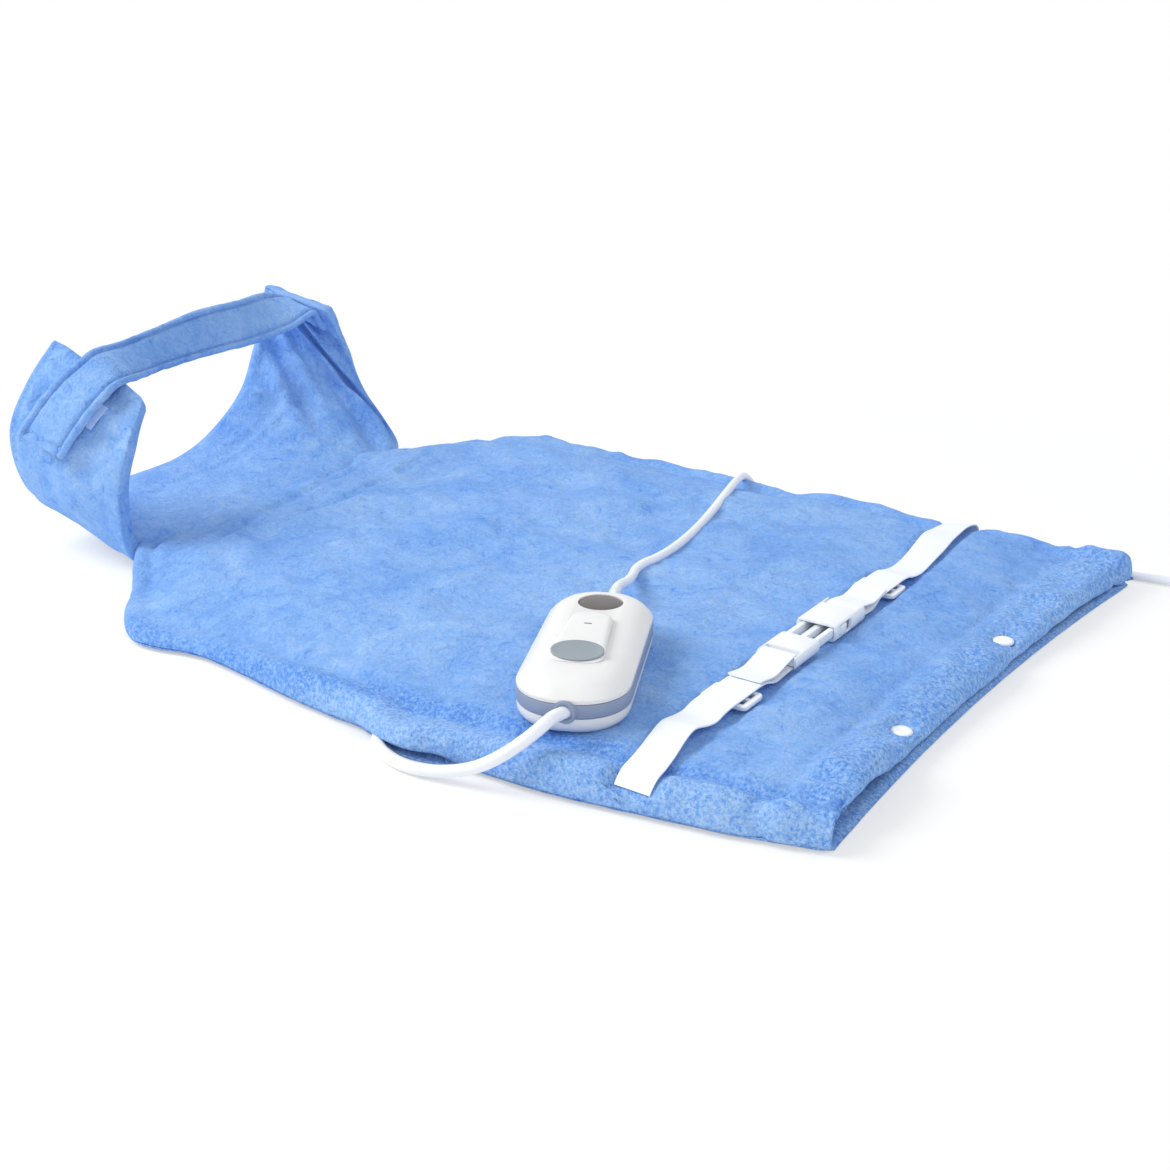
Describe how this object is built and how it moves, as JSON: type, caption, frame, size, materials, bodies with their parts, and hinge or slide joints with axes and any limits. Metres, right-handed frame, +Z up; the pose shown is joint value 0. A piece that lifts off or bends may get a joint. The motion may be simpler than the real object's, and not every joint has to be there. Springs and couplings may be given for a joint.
{
  "type": "heating pad with controller",
  "caption": "Plush neck-and-back heating pad with a strapped collar, a buckled waist belt, a snap hem and a corded slide-switch controller",
  "frame": {"origin": "middle of the underside of the pad's box, measured without its cords", "axes": "+X from the collar to the hem, +Y across the pad away from the controller's side, +Z up"},
  "size_m": [0.8295, 0.4895, 0.1411],
  "materials": {
    "plush": "short pile plush",
    "webbing": "woven",
    "felt": "needled felt",
    "wire_jacket": "silicone",
    "white_plastic": "moulded",
    "case_plastic": "satin moulded",
    "band_plastic": "moulded",
    "dark_lens": "tinted",
    "grey_rubber": "moulded",
    "black_plastic": "moulded",
    "amber_plastic": "moulded",
    "board": "laminate",
    "cord_jacket": "flexible jacket",
    "steel": "plated"
  },
  "bodies": {
    "pad": {"cover_top_panel": "plush", "cover_bottom_panel": "plush", "collar": "plush", "loop_patch": "webbing", "snap_cap_near": "white_plastic", "snap_socket_near": "white_plastic", "snap_stud_near": "white_plastic", "snap_cap_far": "white_plastic", "snap_socket_far": "white_plastic", "snap_stud_far": "white_plastic", "insert_lower_layer": "felt", "insert_upper_layer": "felt", "heating_wire": "wire_jacket", "thermal_cutout": "black_plastic", "lead_junction": "black_plastic", "inner_lead": "cord_jacket", "lead_grommet": "cord_jacket", "belt_near": "webbing", "belt_far": "webbing", "buckle_female": "white_plastic", "case_bottom": "case_plastic", "case_top": "case_plastic", "trim_band_left": "band_plastic", "trim_band_right": "band_plastic", "display_window": "dark_lens", "slide_switch": "black_plastic", "circuit_board": "board", "mains_fuse": "steel", "power_triac": "black_plastic", "film_capacitor": "amber_plastic", "indicator_light_1": "amber_plastic", "indicator_light_2": "amber_plastic", "indicator_light_3": "amber_plastic", "case_screw_1": "steel", "case_screw_2": "steel", "case_screw_3": "steel", "case_screw_4": "steel", "lead_bush": "grey_rubber", "mains_strain_relief": "cord_jacket", "pad_lead": "cord_jacket", "mains_lead": "cord_jacket", "mains_coil": "cord_jacket", "cord_tie": "black_plastic", "plug_body": "cord_jacket", "plug_pin_1": "steel", "plug_pin_2": "steel"},
    "slider": {"slider_cap": "case_plastic", "slider_grip": "grey_rubber", "switch_knob": "black_plastic"},
    "strap": {"collar_strap": "plush", "hook_patch": "webbing"},
    "buckle_plug": {"buckle_male": "white_plastic"},
    "latch_left": {"buckle_arm_left": "white_plastic"},
    "latch_right": {"buckle_arm_right": "white_plastic"},
    "near_adjuster": {"adjuster_near": "white_plastic"},
    "far_adjuster": {"adjuster_far": "white_plastic"}
  },
  "joints": [
    {"name": "heat_slider", "type": "slide", "parent": "pad", "child": "slider", "axis": [0.4115, -0.9114, 0], "range_m": [0, 0.012]},
    {"name": "collar_strap_lift", "type": "hinge", "parent": "pad", "child": "strap", "pos_m": [-0.2938, 0.1041, 0.133], "axis": [-1, 0, 0], "range_deg": [0, 70]},
    {"name": "buckle_release", "type": "slide", "parent": "pad", "child": "buckle_plug", "axis": [0, -1, 0], "range_m": [0, 0.022], "deforming": ["belt_near", "buckle_arm_left", "buckle_arm_right"]},
    {"name": "latch_left_squeeze", "type": "hinge", "parent": "buckle_plug", "child": "latch_left", "pos_m": [0.2127, -0.042, 0.0264], "axis": [0, 0, -1], "range_deg": [0, 7], "stiffness_Nm_per_rad": 0.08},
    {"name": "latch_right_squeeze", "type": "hinge", "parent": "buckle_plug", "child": "latch_right", "pos_m": [0.2297, -0.042, 0.0264], "axis": [0, 0, 1], "range_deg": [0, 7], "stiffness_Nm_per_rad": 0.08},
    {"name": "near_adjuster_slide", "type": "slide", "parent": "buckle_plug", "child": "near_adjuster", "axis": [0, 1, 0], "range_m": [-0.008, 0.01], "deforming": ["belt_near"]},
    {"name": "far_adjuster_slide", "type": "slide", "parent": "pad", "child": "far_adjuster", "axis": [0, 1, 0], "range_m": [-0.008, 0.01], "deforming": ["belt_far"]}
  ]
}
